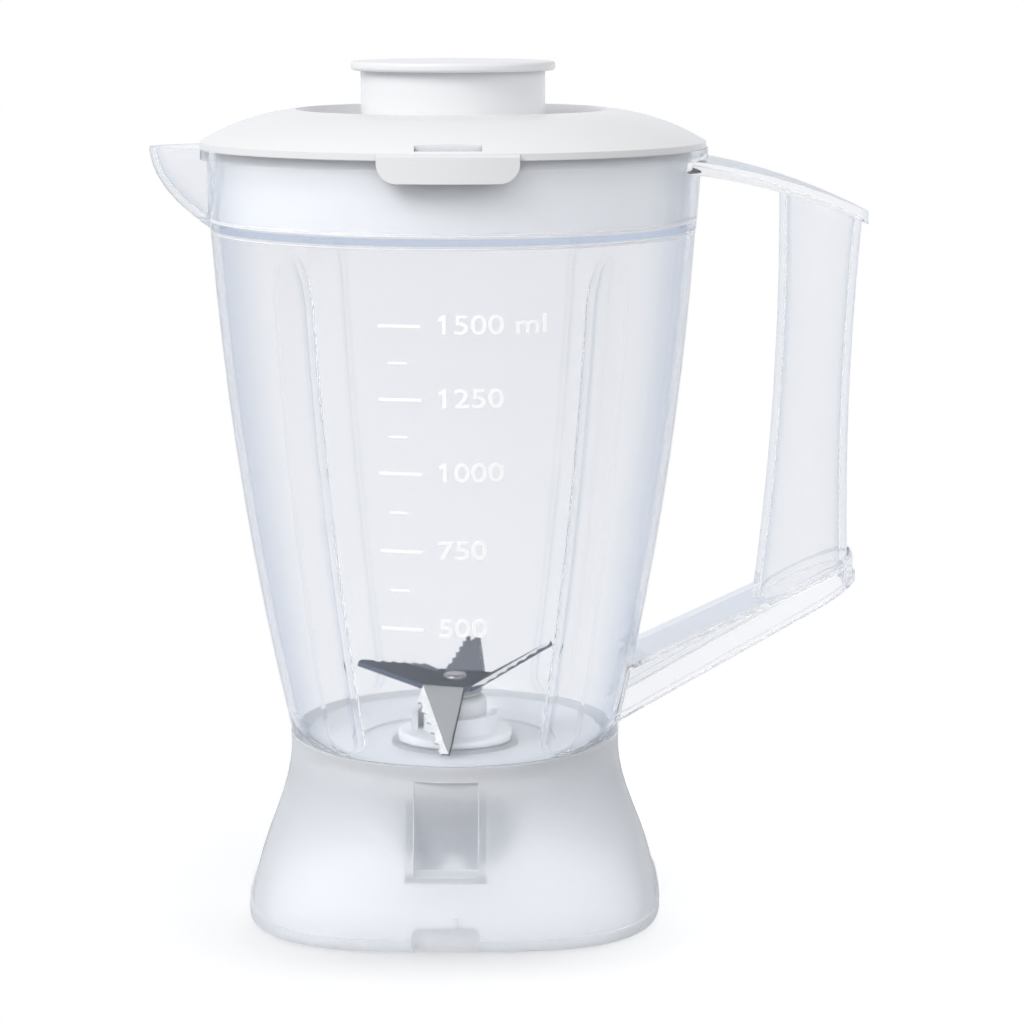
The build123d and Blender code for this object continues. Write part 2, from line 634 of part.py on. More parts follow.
def circlip():
    """Open spring ring in the shaft's groove."""
    low = CIRCLIP_TOP_Z - CIRCLIP_THICKNESS
    clip = ring(CIRCLIP_RADIUS, SHAFT_RADIUS - CIRCLIP_GROOVE, low, CIRCLIP_TOP_Z)
    return clip - front_block(CIRCLIP_GAP, 0, 0, FAR, low - EPS, CIRCLIP_TOP_Z + EPS)


def blade_collar():
    """Steel ring that carries the blade on the upper thrust washer."""
    collar = ring(COLLAR_RADIUS, SHAFT_RADIUS, COLLAR_SEAT_Z, BLADE_Z)
    return fillet(round_edges(collar, COLLAR_RADIUS), COLLAR_ROUND)


def scalloped(plan, edge):
    """A plate outline with round bites along an edge that has the metal on its left."""
    for step in range(1, int(edge.length / TOOTH_PITCH) + 1):
        middle = edge @ ((step - 0.5) * TOOTH_PITCH / edge.length)
        place = Pos(middle.X, middle.Y) * Rot(0, 0, edge.tangent_angle_at(0))
        plan -= place * Pos(0, TOOTH_DEPTH - TOOTH_RADIUS) * Circle(TOOTH_RADIUS)
    return plan


def arm_plate(plan):
    """An arm's outline as a plate, its middle plane at height zero."""
    return Pos(0, 0, -BLADE_THICKNESS / 2) * extrude(plan, BLADE_THICKNESS)


def ground_arm(length, width):
    """An arm with a straight back and a swelling scalloped edge ground to a slope."""
    root = width / 2
    heel, belly = (0, -root), (ARM_BELLY_REACH, -root - ARM_BELLY)
    tip, back_tip = (length, root - ARM_TIP_WIDTH), (length, root)
    plan = make_face(closed([heel, belly, tip, back_tip, (0, root)]))
    plate = arm_plate(scalloped(plan, Line(belly, tip)))
    top = BLADE_THICKNESS / 2
    slope = closed([(0, top), (-length, top - BEVEL_FALL * length), (-length, FAR), (0, FAR)])
    grind = extrude(Plane.YZ * make_face(slope), FAR, both=True)
    return plate - Pos(*heel) * Rot(0, 0, Line(heel, back_tip).tangent_angle_at(0)) * grind


def notched_arm(length, width):
    """An arm with its tip to one side, scalloped along both edges, with a notch in the tip."""
    root, middle = width / 2, BACK_TIP_OFFSET
    right, left = (length, middle - BACK_TIP_WIDTH / 2), (length, middle + BACK_TIP_WIDTH / 2)
    plan = make_face(closed([(0, -root), right, left, (0, root)]))
    plan = scalloped(plan, Line((0, -root), right))
    plan = scalloped(plan, Line(left, (0, root)))
    half = TIP_NOTCH_WIDTH / 2
    notch = closed([(length - TIP_NOTCH_DEPTH, middle), (length + EPS, middle - half),
                    (length + EPS, middle + half)])
    return arm_plate(plan - make_face(notch))


def folded(arm, width, hub_half, bend, turn):
    """An arm folded up or down at the hub's edge, with the round of the fold."""
    arm += Rot(90, 0, 0) * Cylinder(BLADE_THICKNESS / 2, width)
    fold = Pos(hub_half, 0, BLADE_Z + BLADE_THICKNESS / 2) * Rot(0, -bend, 0)
    return Rot(0, 0, BLADE_TURN + turn) * fold * arm


def blade():
    """Four arms folded out of one steel plate."""
    side, cross = BLADE_HUB_LENGTH / 2, BLADE_HUB_WIDTH / 2
    hub = RectangleRounded(BLADE_HUB_LENGTH, BLADE_HUB_WIDTH, BLADE_HUB_CORNER)
    plate = Rot(0, 0, BLADE_TURN) * Pos(0, 0, BLADE_Z) * extrude(hub, BLADE_THICKNESS)
    right, left = [ground_arm((SIDE_ARM_REACH - side) / cos(bend * pi / 180), SIDE_ARM_WIDTH)
                   for bend in (RIGHT_ARM_BEND, LEFT_ARM_BEND)]
    plate += folded(right, SIDE_ARM_WIDTH, side, RIGHT_ARM_BEND, 0)
    plate += folded(mirror(left, about=Plane.XY), SIDE_ARM_WIDTH, side, LEFT_ARM_BEND, 180)
    front = ground_arm(CROSS_ARM_LENGTH, CROSS_ARM_WIDTH)
    back = notched_arm(CROSS_ARM_LENGTH, CROSS_ARM_WIDTH)
    plate += folded(front, CROSS_ARM_WIDTH, cross, FRONT_ARM_BEND, 270)
    plate += folded(back, CROSS_ARM_WIDTH, cross, BACK_ARM_BEND, 90)
    return plate - disc(SPIGOT_RADIUS, BLADE_Z - EPS, BLADE_TOP_Z + EPS)


def blade_shaft():
    """Steel shaft with a riveted head above the blade and a groove for the circlip."""
    foot = COUPLING_FOOT_Z + SHAFT_END_GAP
    groove = SHAFT_RADIUS - CIRCLIP_GROOVE
    groove_foot = CIRCLIP_TOP_Z - CIRCLIP_THICKNESS
    head_top = BLADE_TOP_Z + RIVET_HEIGHT
    outline = [(0, head_top), (0, foot), (SHAFT_RADIUS, foot), (SHAFT_RADIUS, groove_foot),
               (groove, groove_foot), (groove, CIRCLIP_TOP_Z), (SHAFT_RADIUS, CIRCLIP_TOP_Z),
               (SHAFT_RADIUS, BLADE_Z), (SPIGOT_RADIUS, BLADE_Z), (SPIGOT_RADIUS, BLADE_TOP_Z),
               (RIVET_RADIUS, BLADE_TOP_Z), (RIVET_RADIUS, head_top)]
    shaft = turned(closed(outline))
    return fillet(round_edges(shaft, RIVET_RADIUS)[-1], RIVET_ROUND)


def drive_coupling():
    """Dark moulded coupling on the shaft's foot, with dogs that the motor's drive turns."""
    coupling = disc(COUPLING_RADIUS, COUPLING_FOOT_Z, COUPLING_TOP_Z)
    dogs_foot = COUPLING_FOOT_Z - DOG_LENGTH
    dog_ring = ring(COUPLING_RADIUS - DOG_RIM_GAP, DOG_INNER_RADIUS, dogs_foot, COUPLING_FOOT_Z + EPS)
    for number in range(DOG_COUNT):
        coupling += dog_ring & wedge(DOG_ANGLE, number * 360 / DOG_COUNT, dogs_foot, COUPLING_FOOT_Z + EPS)
    return coupling - disc(SHAFT_RADIUS, COUPLING_FOOT_Z + SHAFT_END_GAP, COUPLING_TOP_Z + EPS)


PIECES = [jar_body, lid, filler_cap, housing_gasket, bearing_housing, upper_bush, lower_bush, shaft_seal,
          lock_nut, upper_thrust_washer, lower_thrust_washer, circlip, blade_collar, blade, blade_shaft,
          drive_coupling]

os.makedirs("parts", exist_ok=True)
for piece in PIECES:
    export_step(piece(), f"parts/{piece.__name__}.step")
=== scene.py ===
from math import radians

import bpy
from mathutils import Matrix, Vector


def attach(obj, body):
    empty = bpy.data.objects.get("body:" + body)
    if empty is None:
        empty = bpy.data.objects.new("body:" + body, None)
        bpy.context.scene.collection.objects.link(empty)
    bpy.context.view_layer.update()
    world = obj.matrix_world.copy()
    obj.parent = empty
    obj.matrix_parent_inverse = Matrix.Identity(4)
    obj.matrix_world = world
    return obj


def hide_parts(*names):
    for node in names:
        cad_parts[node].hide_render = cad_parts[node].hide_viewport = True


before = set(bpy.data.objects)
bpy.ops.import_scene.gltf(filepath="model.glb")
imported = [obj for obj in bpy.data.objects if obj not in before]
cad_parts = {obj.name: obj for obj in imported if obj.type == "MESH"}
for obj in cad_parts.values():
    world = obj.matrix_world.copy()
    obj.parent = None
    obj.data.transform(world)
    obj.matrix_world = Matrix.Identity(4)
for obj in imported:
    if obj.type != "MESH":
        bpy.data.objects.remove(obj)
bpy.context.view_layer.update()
bpy.context.scene.view_settings.view_transform = "Standard"


# Jar body
# Bowl, pouring lip, handle and skirt are one injection moulding in clarified polypropylene.
# The mould is polished round the bowl and handle, and blasted at skirt and floor, which come out frosted.

# Sizes and places are in metres.
SKIRT_TOP = 0.0515
MILKY_FROM, MILKY_TO = 0.041, 0.046
BOWL_REACH = 0.078
LEDGE_MIDDLE = 0.2075
RING_SOLID, RING_EDGE = 0.0009, 0.0014
PALE_LINE, PALE_LINE_SOLID, PALE_LINE_EDGE = 0.0018, 0.0001, 0.0005
CREASE_ROUND = 0.0005
CREASE_FAINT, CREASE_FULL = 0.97, 0.925


def linear(colour):
    """The linear red, green, blue and alpha of an sRGB hex colour."""
    channels = [int(colour[place:place + 2], 16) / 255 for place in (1, 3, 5)]
    return [c / 12.92 if c <= 0.04045 else ((c + 0.055) / 1.055) ** 2.4 for c in channels] + [1.0]


def add_node(tree, kind, inputs=None, **settings):
    """Adds a node with its settings, and puts values or other nodes' outputs into its inputs."""
    node = tree.nodes.new(kind)
    for name, value in settings.items():
        setattr(node, name, value)
    for name, value in (inputs or {}).items():
        if isinstance(value, bpy.types.NodeSocket):
            tree.links.new(value, node.inputs[name])
        else:
            node.inputs[name].default_value = value
    return node


def new_material(name):
    """An empty node material, with its node tree and the output that gives the place on the piece."""
    material = bpy.data.materials.new(name)
    material.use_nodes = True
    tree = material.node_tree
    tree.nodes.clear()
    return material, tree, add_node(tree, "ShaderNodeTexCoord").outputs["Object"]


def crease_lines(tree):
    """1 along each crease, and 0 on the faces between, where a small round leaves the normal as it is."""
    rounded = add_node(tree, "ShaderNodeBevel", {"Radius": CREASE_ROUND}, samples=12).outputs["Normal"]
    normal = add_node(tree, "ShaderNodeNewGeometry").outputs["Normal"]
    match = add_node(tree, "ShaderNodeVectorMath", {0: rounded, 1: normal}, operation="DOT_PRODUCT")
    match = add_node(tree, "ShaderNodeMath", {0: match.outputs["Value"]}, operation="ABSOLUTE").outputs[0]
    return add_node(tree, "ShaderNodeMapRange", {
        "Value": match, "From Min": CREASE_FAINT, "From Max": CREASE_FULL}).outputs["Result"]


# Clear polypropylene lets light through with a faint milkiness. Seen edge on it turns blue-grey,
# partly for the longer path through the wall and partly as painted shade, and where the wall
# turns quite away a darker blue-grey line is painted in: painted shade.
# The polished mould leaves slow waves about 25 mm long in the surface.
clear_pp, tree, place = new_material("clarified_polypropylene_polished")
waves = add_node(tree, "ShaderNodeTexNoise", {"Vector": place, "Scale": 1 / 0.025, "Detail": 1.0})
bump = add_node(tree, "ShaderNodeBump", {
    "Height": waves.outputs["Fac"], "Strength": 0.02, "Distance": 0.001})
facing = add_node(tree, "ShaderNodeLayerWeight", {"Blend": 0.5}).outputs["Facing"]
edge_on_tint_and_shade = add_node(tree, "ShaderNodeMapRange", {"Value": facing, "From Min": 0.4}).outputs["Result"]
painted_outline_shade = add_node(tree, "ShaderNodeMapRange", {
    "Value": facing, "From Min": 0.86, "From Max": 0.97}).outputs["Result"]
tint = add_node(tree, "ShaderNodeMix", {
    "Factor": edge_on_tint_and_shade, "A": linear("#f7f8fa"), "B": linear("#d0d9e7")}, data_type="RGBA").outputs["Result"]
# Painted shade: the darker line where the wall is seen nearly edge on.
tint = add_node(tree, "ShaderNodeMix", {
    "Factor": painted_outline_shade, "A": tint, "B": linear("#64728a")}, data_type="RGBA").outputs["Result"]

# The ledge that the lid's plug comes down to is a thicker ring in the wall, drawn as a bluer band,
# with a pale line painted along each edge: painted highlights.
# The handle has none, so a metre is added to its distance from the ledge.
parts = add_node(tree, "ShaderNodeSeparateXYZ", {"Vector": place}).outputs
ledge = add_node(tree, "ShaderNodeMath", {0: parts["Z"], 1: LEDGE_MIDDLE}, operation="SUBTRACT").outputs[0]
ledge = add_node(tree, "ShaderNodeMath", {0: ledge}, operation="ABSOLUTE").outputs[0]
handle = add_node(tree, "ShaderNodeMath", {
    0: parts["X"], 1: BOWL_REACH}, operation="GREATER_THAN").outputs[0]
ledge = add_node(tree, "ShaderNodeMath", {0: ledge, 1: handle}, operation="ADD").outputs[0]
ring = add_node(tree, "ShaderNodeMapRange", {
    "Value": ledge, "From Min": RING_SOLID, "From Max": RING_EDGE,
    "To Min": 1.0, "To Max": 0.0}).outputs["Result"]
tint = add_node(tree, "ShaderNodeMix", {
    "Factor": ring, "A": tint, "B": linear("#d3dcea")}, data_type="RGBA").outputs["Result"]
# Painted highlights: the two pale lines along the ledge's edges.
line = add_node(tree, "ShaderNodeMath", {0: ledge, 1: PALE_LINE}, operation="SUBTRACT").outputs[0]
line = add_node(tree, "ShaderNodeMath", {0: line}, operation="ABSOLUTE").outputs[0]
line = add_node(tree, "ShaderNodeMapRange", {
    "Value": line, "From Min": PALE_LINE_SOLID, "From Max": PALE_LINE_EDGE,
    "To Min": 1.0, "To Max": 0.0}).outputs["Result"]

# Every crease is a small round of about 0.5 mm. A fine white line, less clear than the wall, is painted
# along it and along the ledge's lines: painted highlights.
crease = add_node(tree, "ShaderNodeMath", {
    0: crease_lines(tree), 1: line}, operation="MAXIMUM").outputs[0]
tint = add_node(tree, "ShaderNodeMix", {
    "Factor": crease, "A": tint, "B": linear("#ffffff")}, data_type="RGBA").outputs["Result"]
clear = add_node(tree, "ShaderNodeMapRange", {
    "Value": crease, "To Min": 0.93, "To Max": 0.25}).outputs["Result"]
surface = add_node(tree, "ShaderNodeBsdfPrincipled", {
    "Base Color": tint, "Roughness": 0.12, "IOR": 1.06, "Transmission Weight": clear,
    "Coat Weight": 0.25, "Coat Roughness": 0.06, "Normal": bump.outputs["Normal"]})
add_node(tree, "ShaderNodeOutputMaterial", {"Surface": surface.outputs["BSDF"]})

# The blasted skirt scatters what shines through it, so the drive parts inside show only as soft shapes.
# It is milkier at the top, where the jar's floor joins it.
# The grit of the blasting is about 0.4 mm, drawn at 0.8 mm so that it shows.
frosted_pp, tree, place = new_material("clarified_polypropylene_blasted")
grit = add_node(tree, "ShaderNodeTexNoise", {"Vector": place, "Scale": 1 / 0.0008, "Detail": 2.0})
bump = add_node(tree, "ShaderNodeBump", {
    "Height": grit.outputs["Fac"], "Strength": 0.08, "Distance": 0.0002})
height = add_node(tree, "ShaderNodeSeparateXYZ", {"Vector": place}).outputs["Z"]
clear = add_node(tree, "ShaderNodeMapRange", {
    "Value": height, "From Min": MILKY_FROM, "From Max": MILKY_TO,
    "To Min": 0.62, "To Max": 0.25}).outputs["Result"]
# Painted highlights: along the creases the skirt is made less clear, so that they show as pale lines.
clear = add_node(tree, "ShaderNodeMapRange", {
    "Value": crease_lines(tree), "To Min": clear, "To Max": 0.1}).outputs["Result"]
surface = add_node(tree, "ShaderNodeBsdfPrincipled", {
    "Base Color": linear("#eff1f4"), "Roughness": 0.5, "IOR": 1.14, "Transmission Weight": clear,
    "Normal": bump.outputs["Normal"]})
add_node(tree, "ShaderNodeOutputMaterial", {"Surface": surface.outputs["BSDF"]})


def dressed_copy(node, name, body, slot, *materials):
    """A copy of a CAD node's mesh in its materials, with the triangles left loose.

    Each corner holds the true surface's normal, which merging the corners would lose.
    """
    piece = bpy.data.objects.new(name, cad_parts[node].data.copy())
    bpy.context.scene.collection.objects.link(piece)
    piece.data.materials.clear()
    for material in materials:
        piece.data.materials.append(material)
    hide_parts(node)
    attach(piece, body)
    return piece


jar = dressed_copy("jar_body", "jar_moulding", "jar", "clear_plastic", clear_pp, frosted_pp)
for face in jar.data.polygons:
    face.material_index = 1 if face.center.z < SKIRT_TOP else 0


# Volume scale
# Lines and numbers stand 0.4 mm proud of the front wall, moulded with it from a blasted engraving
# in the tool, so that they read as pale strokes on the clear wall.

SCALE_MARKS = ((0.1842, "1500 ml"), (0.1632, "1250"), (0.1417, "1000"), (0.1187, "750"), (0.0952, "500"))
LINE_LEFT, LINE_RIGHT, LINE_WIDTH = -0.0198, -0.0078, 0.00075
SHORT_LEFT, SHORT_RIGHT, SHORT_WIDTH = -0.0171, -0.0118, 0.0005
LABEL_LEFT, LABEL_FOOT, LABEL_SIZE, LABEL_STRETCH = -0.0038, 0.0022, 0.0078, 1.24
FLAG_LENGTH, FLAG_WIDTH, FLAG_LEAN, FLAG_SHARE_OUT = 0.0019, 0.0009, -35, 0.6
SCALE_PROUD = 0.0004
IN_FRONT = -0.12

strokes = []


def select_only(piece):
    """Makes one object the only selected and the active one."""
    bpy.ops.object.select_all(action="DESELECT")
    piece.select_set(True)
    bpy.context.view_layer.objects.active = piece


def scale_line(left, right, width, height, lean=0):
    """A flat line in front of the wall, with enough points across to follow its curve."""
    bpy.ops.object.select_all(action="DESELECT")
    bpy.ops.mesh.primitive_grid_add(x_subdivisions=12, y_subdivisions=2, size=1.0)
    line = bpy.context.object
    line.scale = (right - left, width, 1.0)
    line.rotation_euler = (radians(90), radians(lean), 0)
    line.location = ((left + right) / 2, IN_FRONT, height)
    bpy.ops.object.transform_apply(location=True, rotation=True, scale=True)
    strokes.append(line)


# The font's 1 is a bare stem, so a number that starts with it gets a short slanting flag.
for height, label in SCALE_MARKS:
    scale_line(LINE_LEFT, LINE_RIGHT, LINE_WIDTH, height)
    bpy.ops.object.text_add()
    words = bpy.context.object
    words.data.body = label
    words.data.size = LABEL_SIZE
    words.scale = (LABEL_STRETCH, 1.0, 1.0)
    words.rotation_euler = (radians(90), 0, 0)
    words.location = (LABEL_LEFT, IN_FRONT, height - LABEL_FOOT)
    select_only(words)
    bpy.ops.object.convert(target="MESH")
    bpy.ops.object.transform_apply(location=True, rotation=True, scale=True)
    strokes.append(words)
    if label[0] == "1":
        stem = min(point.co.x for point in words.data.vertices)
        top = max(point.co.z for point in words.data.vertices)
        left = stem - FLAG_SHARE_OUT * FLAG_LENGTH
        scale_line(left, left + FLAG_LENGTH, FLAG_WIDTH, top - FLAG_WIDTH, FLAG_LEAN)
for (upper, _), (lower, _) in zip(SCALE_MARKS, SCALE_MARKS[1:]):
    scale_line(SHORT_LEFT, SHORT_RIGHT, SHORT_WIDTH, (upper + lower) / 2)

volume_scale = strokes[0]
select_only(volume_scale)
for stroke in strokes:
    stroke.select_set(True)
bpy.ops.object.join()
volume_scale.name = "volume_scale"
wrap = volume_scale.modifiers.new("onto_wall", "SHRINKWRAP")
wrap.target = jar
wrap.wrap_method = "PROJECT"
wrap.use_project_y = True
wrap.use_positive_direction = True
bpy.ops.object.modifier_apply(modifier=wrap.name)
raised = volume_scale.modifiers.new("raised", "SOLIDIFY")
raised.thickness = SCALE_PROUD
raised.offset = 1.0
bpy.ops.object.modifier_apply(modifier=raised.name)

# The blasted strokes look a little whiter than the wall behind them, from a faint white glow painted
# into them: painted light.
# Their grit is about 0.4 mm, drawn at 0.6 mm so that it shows.
scale_pp, tree, place = new_material("clarified_polypropylene_engraved")
grit = add_node(tree, "ShaderNodeTexNoise", {"Vector": place, "Scale": 1 / 0.0006, "Detail": 1.0})
bump = add_node(tree, "ShaderNodeBump", {
    "Height": grit.outputs["Fac"], "Strength": 0.1, "Distance": 0.0002})
surface = add_node(tree, "ShaderNodeBsdfPrincipled", {
    "Base Color": linear("#ffffff"), "Roughness": 0.5, "IOR": 1.49,
    "Emission Color": linear("#ffffff"), "Emission Strength": 0.22, "Normal": bump.outputs["Normal"]})
add_node(tree, "ShaderNodeOutputMaterial", {"Surface": surface.outputs["BSDF"]})
select_only(volume_scale)
bpy.ops.object.shade_flat()
volume_scale.data.materials.clear()
volume_scale.data.materials.append(scale_pp)
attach(volume_scale, "jar")


# Housing gasket
# A soft silicone ring between the jar's floor and the bearing housing, compression moulded
# and squeezed when the lock nut is tightened from below.


def mottled(tree, place, size, smooth, rough, detail=2.0):
    """A roughness that wanders between two values, over patches of one size in metres."""
    patches = add_node(tree, "ShaderNodeTexNoise", {"Vector": place, "Scale": 1 / size, "Detail": detail})
    return add_node(tree, "ShaderNodeMapRange", {
        "Value": patches.outputs["Fac"], "To Min": smooth, "To Max": rough}).outputs["Result"]


# Silicone takes in light and gives it back milky, with a soft sheen that is uneven over a few millimetres.
silicone, tree, place = new_material("silicone_translucent")
surface = add_node(tree, "ShaderNodeBsdfPrincipled", {
    "Base Color": linear("#f0f3f6"), "Roughness": mottled(tree, place, size=0.003, smooth=0.4, rough=0.55),
    "IOR": 1.41, "Transmission Weight": 0.5})
add_node(tree, "ShaderNodeOutputMaterial", {"Surface": surface.outputs["BSDF"]})
dressed_copy("housing_gasket", "gasket_ring", "jar", "silicone", silicone)


# Bearing housing
# A grey translucent moulding with a flange, two curved wings to turn it by and a sleeve round the shaft.
# Its threaded stem goes down through the floor, where the lock nut holds it.

# Unfilled polypropylene looks like pale smoke, a little see-through, with a satin gloss from the mould.
smoke_pp, tree, place = new_material("polypropylene_smoke_grey")
surface = add_node(tree, "ShaderNodeBsdfPrincipled", {
    "Base Color": linear("#f3f5f8"), "Roughness": mottled(tree, place, size=0.004, smooth=0.24, rough=0.36),
    "IOR": 1.49, "Transmission Weight": 0.15})
add_node(tree, "ShaderNodeOutputMaterial", {"Surface": surface.outputs["BSDF"]})
dressed_copy("bearing_housing", "housing_moulding", "jar", "grey_plastic", smoke_pp)


# Bushes
# Two plain bearings of sintered bronze, pressed from powder and soaked in oil.
# They are pushed into the two ends of the housing's bore and carry the shaft.

# Sintered bronze is a dull brown gold. Its pores are about 0.1 mm, drawn at 0.5 mm so that they show.
sintered_bronze, tree, place = new_material("sintered_bronze")
pores = add_node(tree, "ShaderNodeTexVoronoi", {"Vector": place, "Scale": 1 / 0.0005})
shade = add_node(tree, "ShaderNodeMapRange", {
    "Value": pores.outputs["Distance"], "To Min": 0.35, "To Max": 0.6})
surface = add_node(tree, "ShaderNodeBsdfPrincipled", {
    "Base Color": linear("#b08d57"), "Metallic": 1.0, "Roughness": shade.outputs["Result"]})
add_node(tree, "ShaderNodeOutputMaterial", {"Surface": surface.outputs["BSDF"]})
for node in ("upper_bush", "lower_bush"):
    dressed_copy(node, node + "_sintered", "jar", "bronze", sintered_bronze)


# Shaft seal
# A lip seal of nitrile rubber, moulded in one piece and pushed into the housing above the upper bush,
# where its lip runs on the shaft and keeps liquid out.

# Nitrile is near black, with a matt bloom in patches of about 2 mm.
nitrile, tree, place = new_material("nitrile_rubber")
surface = add_node(tree, "ShaderNodeBsdfPrincipled", {
    "Base Color": linear("#26272a"), "Roughness": mottled(tree, place, size=0.002, smooth=0.5, rough=0.7)})
add_node(tree, "ShaderNodeOutputMaterial", {"Surface": surface.outputs["BSDF"]})
dressed_copy("shaft_seal", "shaft_lip_seal", "jar", "seal_rubber", nitrile)


# Lock nut
# A hexagon nut injection moulded in acetal, a hard and slippery pale plastic.
# It is turned on to the housing's stem under the jar's floor and clamps housing and gasket.

# Acetal is off-white and dense, with a satin surface that varies a little where it flowed in the mould.
acetal, tree, place = new_material("acetal_satin")
surface = add_node(tree, "ShaderNodeBsdfPrincipled", {
    "Base Color": linear("#e2e3e2"), "Roughness": mottled(tree, place, size=0.005, smooth=0.3, rough=0.42),
    "IOR": 1.48})
add_node(tree, "ShaderNodeOutputMaterial", {"Surface": surface.outputs["BSDF"]})
dressed_copy("lock_nut", "lock_nut_moulding", "jar", "nut_plastic", acetal)


# Thrust washers
# Two thin acetal washers, moulded as the nut is. They lie on the shaft above and below the housing,
# turn with the shaft and take its push.

for node, name in (("upper_thrust_washer", "upper_washer"), ("lower_thrust_washer", "lower_washer")):
    dressed_copy(node, name, "rotor", "washer_plastic", acetal)


# Shaft, collar and circlip
# The shaft is turned stainless bar with its end riveted over the blade. A turned collar carries the blade,
# and a circlip of the same steel snaps into a groove and stops the shaft from lifting.

# Turned steel is mid grey with rings of changing gloss. The tool's feed is about 0.1 mm, and the rings are
# drawn 0.6 mm apart so that they show.
RING_GAP = 0.0006
turned_steel, tree, place = new_material("stainless_steel_turned")
rings = add_node(tree, "ShaderNodeTexWave", {"Vector": place, "Scale": 0.5 / RING_GAP, "Distortion": 0.6},
                 wave_type="BANDS", bands_direction="Z")
shade = add_node(tree, "ShaderNodeMapRange", {"Value": rings.outputs["Fac"], "To Min": 0.22, "To Max": 0.36})
surface = add_node(tree, "ShaderNodeBsdfPrincipled", {
    "Base Color": linear("#8d8f93"), "Metallic": 1.0, "Roughness": shade.outputs["Result"]})
add_node(tree, "ShaderNodeOutputMaterial", {"Surface": surface.outputs["BSDF"]})
for node, name in (("blade_shaft", "shaft_turned"), ("blade_collar", "collar_turned"),
                   ("circlip", "circlip_spring")):
    dressed_copy(node, name, "rotor", "shaft_steel", turned_steel)


# Blade
# Four arms folded from one stamped plate of hardened stainless steel, with scalloped edges, and riveted
# between shaft and collar. Each leading edge is ground to a slope, which is much brighter than the plate.

BACK_ARM_FROM, BACK_ARM_TO = 0.0085, 0.0105
GRAIN_WIDTH, GRAIN_LENGTH = 0.0004, 0.006
ARM_START = 0.0088

# Rolled plate is dark and bluish with a dull grain, about 0.4 mm wide and 6 mm long.
# Along the back arm, which bends up, it is painted lighter: painted light.
rolled_steel, tree, place = new_material("stainless_steel_rolled")
stretch = add_node(tree, "ShaderNodeMapping", {
    "Vector": place, "Scale": (1 / GRAIN_WIDTH, 1 / GRAIN_LENGTH, 1 / GRAIN_WIDTH)}).outputs["Vector"]
# Painted light: the plate turns lighter towards the back arm.
back = add_node(tree, "ShaderNodeSeparateXYZ", {"Vector": place}).outputs["Y"]
back = add_node(tree, "ShaderNodeMapRange", {
    "Value": back, "From Min": BACK_ARM_FROM, "From Max": BACK_ARM_TO}).outputs["Result"]
tint = add_node(tree, "ShaderNodeMix", {
    "Factor": back, "A": linear("#485c74"), "B": linear("#8c929d")}, data_type="RGBA").outputs["Result"]
surface = add_node(tree, "ShaderNodeBsdfPrincipled", {
    "Base Color": tint, "Metallic": 1.0, "Specular Tint": linear("#2c333c"),
    "Roughness": mottled(tree, stretch, size=1.0, smooth=0.38, rough=0.52)})
add_node(tree, "ShaderNodeOutputMaterial", {"Surface": surface.outputs["BSDF"]})

# The ground slopes keep the fine marks of the wheel, about 0.3 mm apart, and shine almost white.
ground_steel, tree, place = new_material("stainless_steel_ground")
surface = add_node(tree, "ShaderNodeBsdfPrincipled", {
    "Base Color": linear("#f2f2f0"), "Metallic": 1.0,
    "Roughness": mottled(tree, place, size=0.0003, smooth=0.2, rough=0.34, detail=1.0)})
add_node(tree, "ShaderNodeOutputMaterial", {"Surface": surface.outputs["BSDF"]})

# The face of the arm that hangs down is painted lighter than the other arms: painted light.
# It has marks that run down the arm about 0.4 mm apart.
steel_painted_lighter, tree, place = new_material("stainless_steel_painted_lighter")
stretch = add_node(tree, "ShaderNodeMapping", {
    "Vector": place, "Scale": (1 / GRAIN_WIDTH, 1 / GRAIN_LENGTH, 1 / GRAIN_LENGTH)}).outputs["Vector"]
surface = add_node(tree, "ShaderNodeBsdfPrincipled", {
    "Base Color": linear("#858686"), "Metallic": 1.0,
    "Roughness": mottled(tree, stretch, size=1.0, smooth=0.3, rough=0.45)})
add_node(tree, "ShaderNodeOutputMaterial", {"Surface": surface.outputs["BSDF"]})

blade = dressed_copy("blade", "blade_stamping", "rotor", "blade_steel",
                     rolled_steel, ground_steel, steel_painted_lighter)

# The turn and the bend of each arm that is ground. A ground face leans about 17 degrees off its arm.
# The last arm is the one that hangs down, and its flat face is the one painted lighter.
GROUND_ARMS = ((-17, 30.5), (163, 15.5), (253, -49))
GROUND_LEAST, FLAT_LEAST, TILT_LEAST = 0.9, 0.985, 0.1
for face in blade.data.polygons:
    for turn, bend in GROUND_ARMS:
        unturned = Matrix.Rotation(radians(-turn), 3, "Z")
        along = (unturned @ face.center).x
        lean = Matrix.Rotation(radians(bend), 3, "Y") @ unturned @ face.normal
        if along > ARM_START and GROUND_LEAST < abs(lean.z) < FLAT_LEAST and lean.y < -TILT_LEAST:
            face.material_index = 1
        elif along > ARM_START and lean.z > FLAT_LEAST and bend < 0:
            face.material_index = 2


# Drive coupling
# A glass-filled nylon moulding pressed on the shaft's foot, with dogs that the motor's drive turns.
# It shows only as a soft darker shape through the frosted skirt.

# Glass fibres about 1 mm long come to the surface and leave the slate-blue nylon matt in specks.
dark_nylon, tree, place = new_material("glass_filled_nylon")
surface = add_node(tree, "ShaderNodeBsdfPrincipled", {
    "Base Color": linear("#8592a6"),
    "Roughness": mottled(tree, place, size=0.001, smooth=0.4, rough=0.6, detail=3.0)})
add_node(tree, "ShaderNodeOutputMaterial", {"Surface": surface.outputs["BSDF"]})
dressed_copy("drive_coupling", "coupling_moulding", "rotor", "dark_plastic", dark_nylon)


# Lid
# A white polypropylene moulding from a polished tool, with a lift tab, a slot and a collar for the cap.
# Its plug pushes into the jar's mouth.

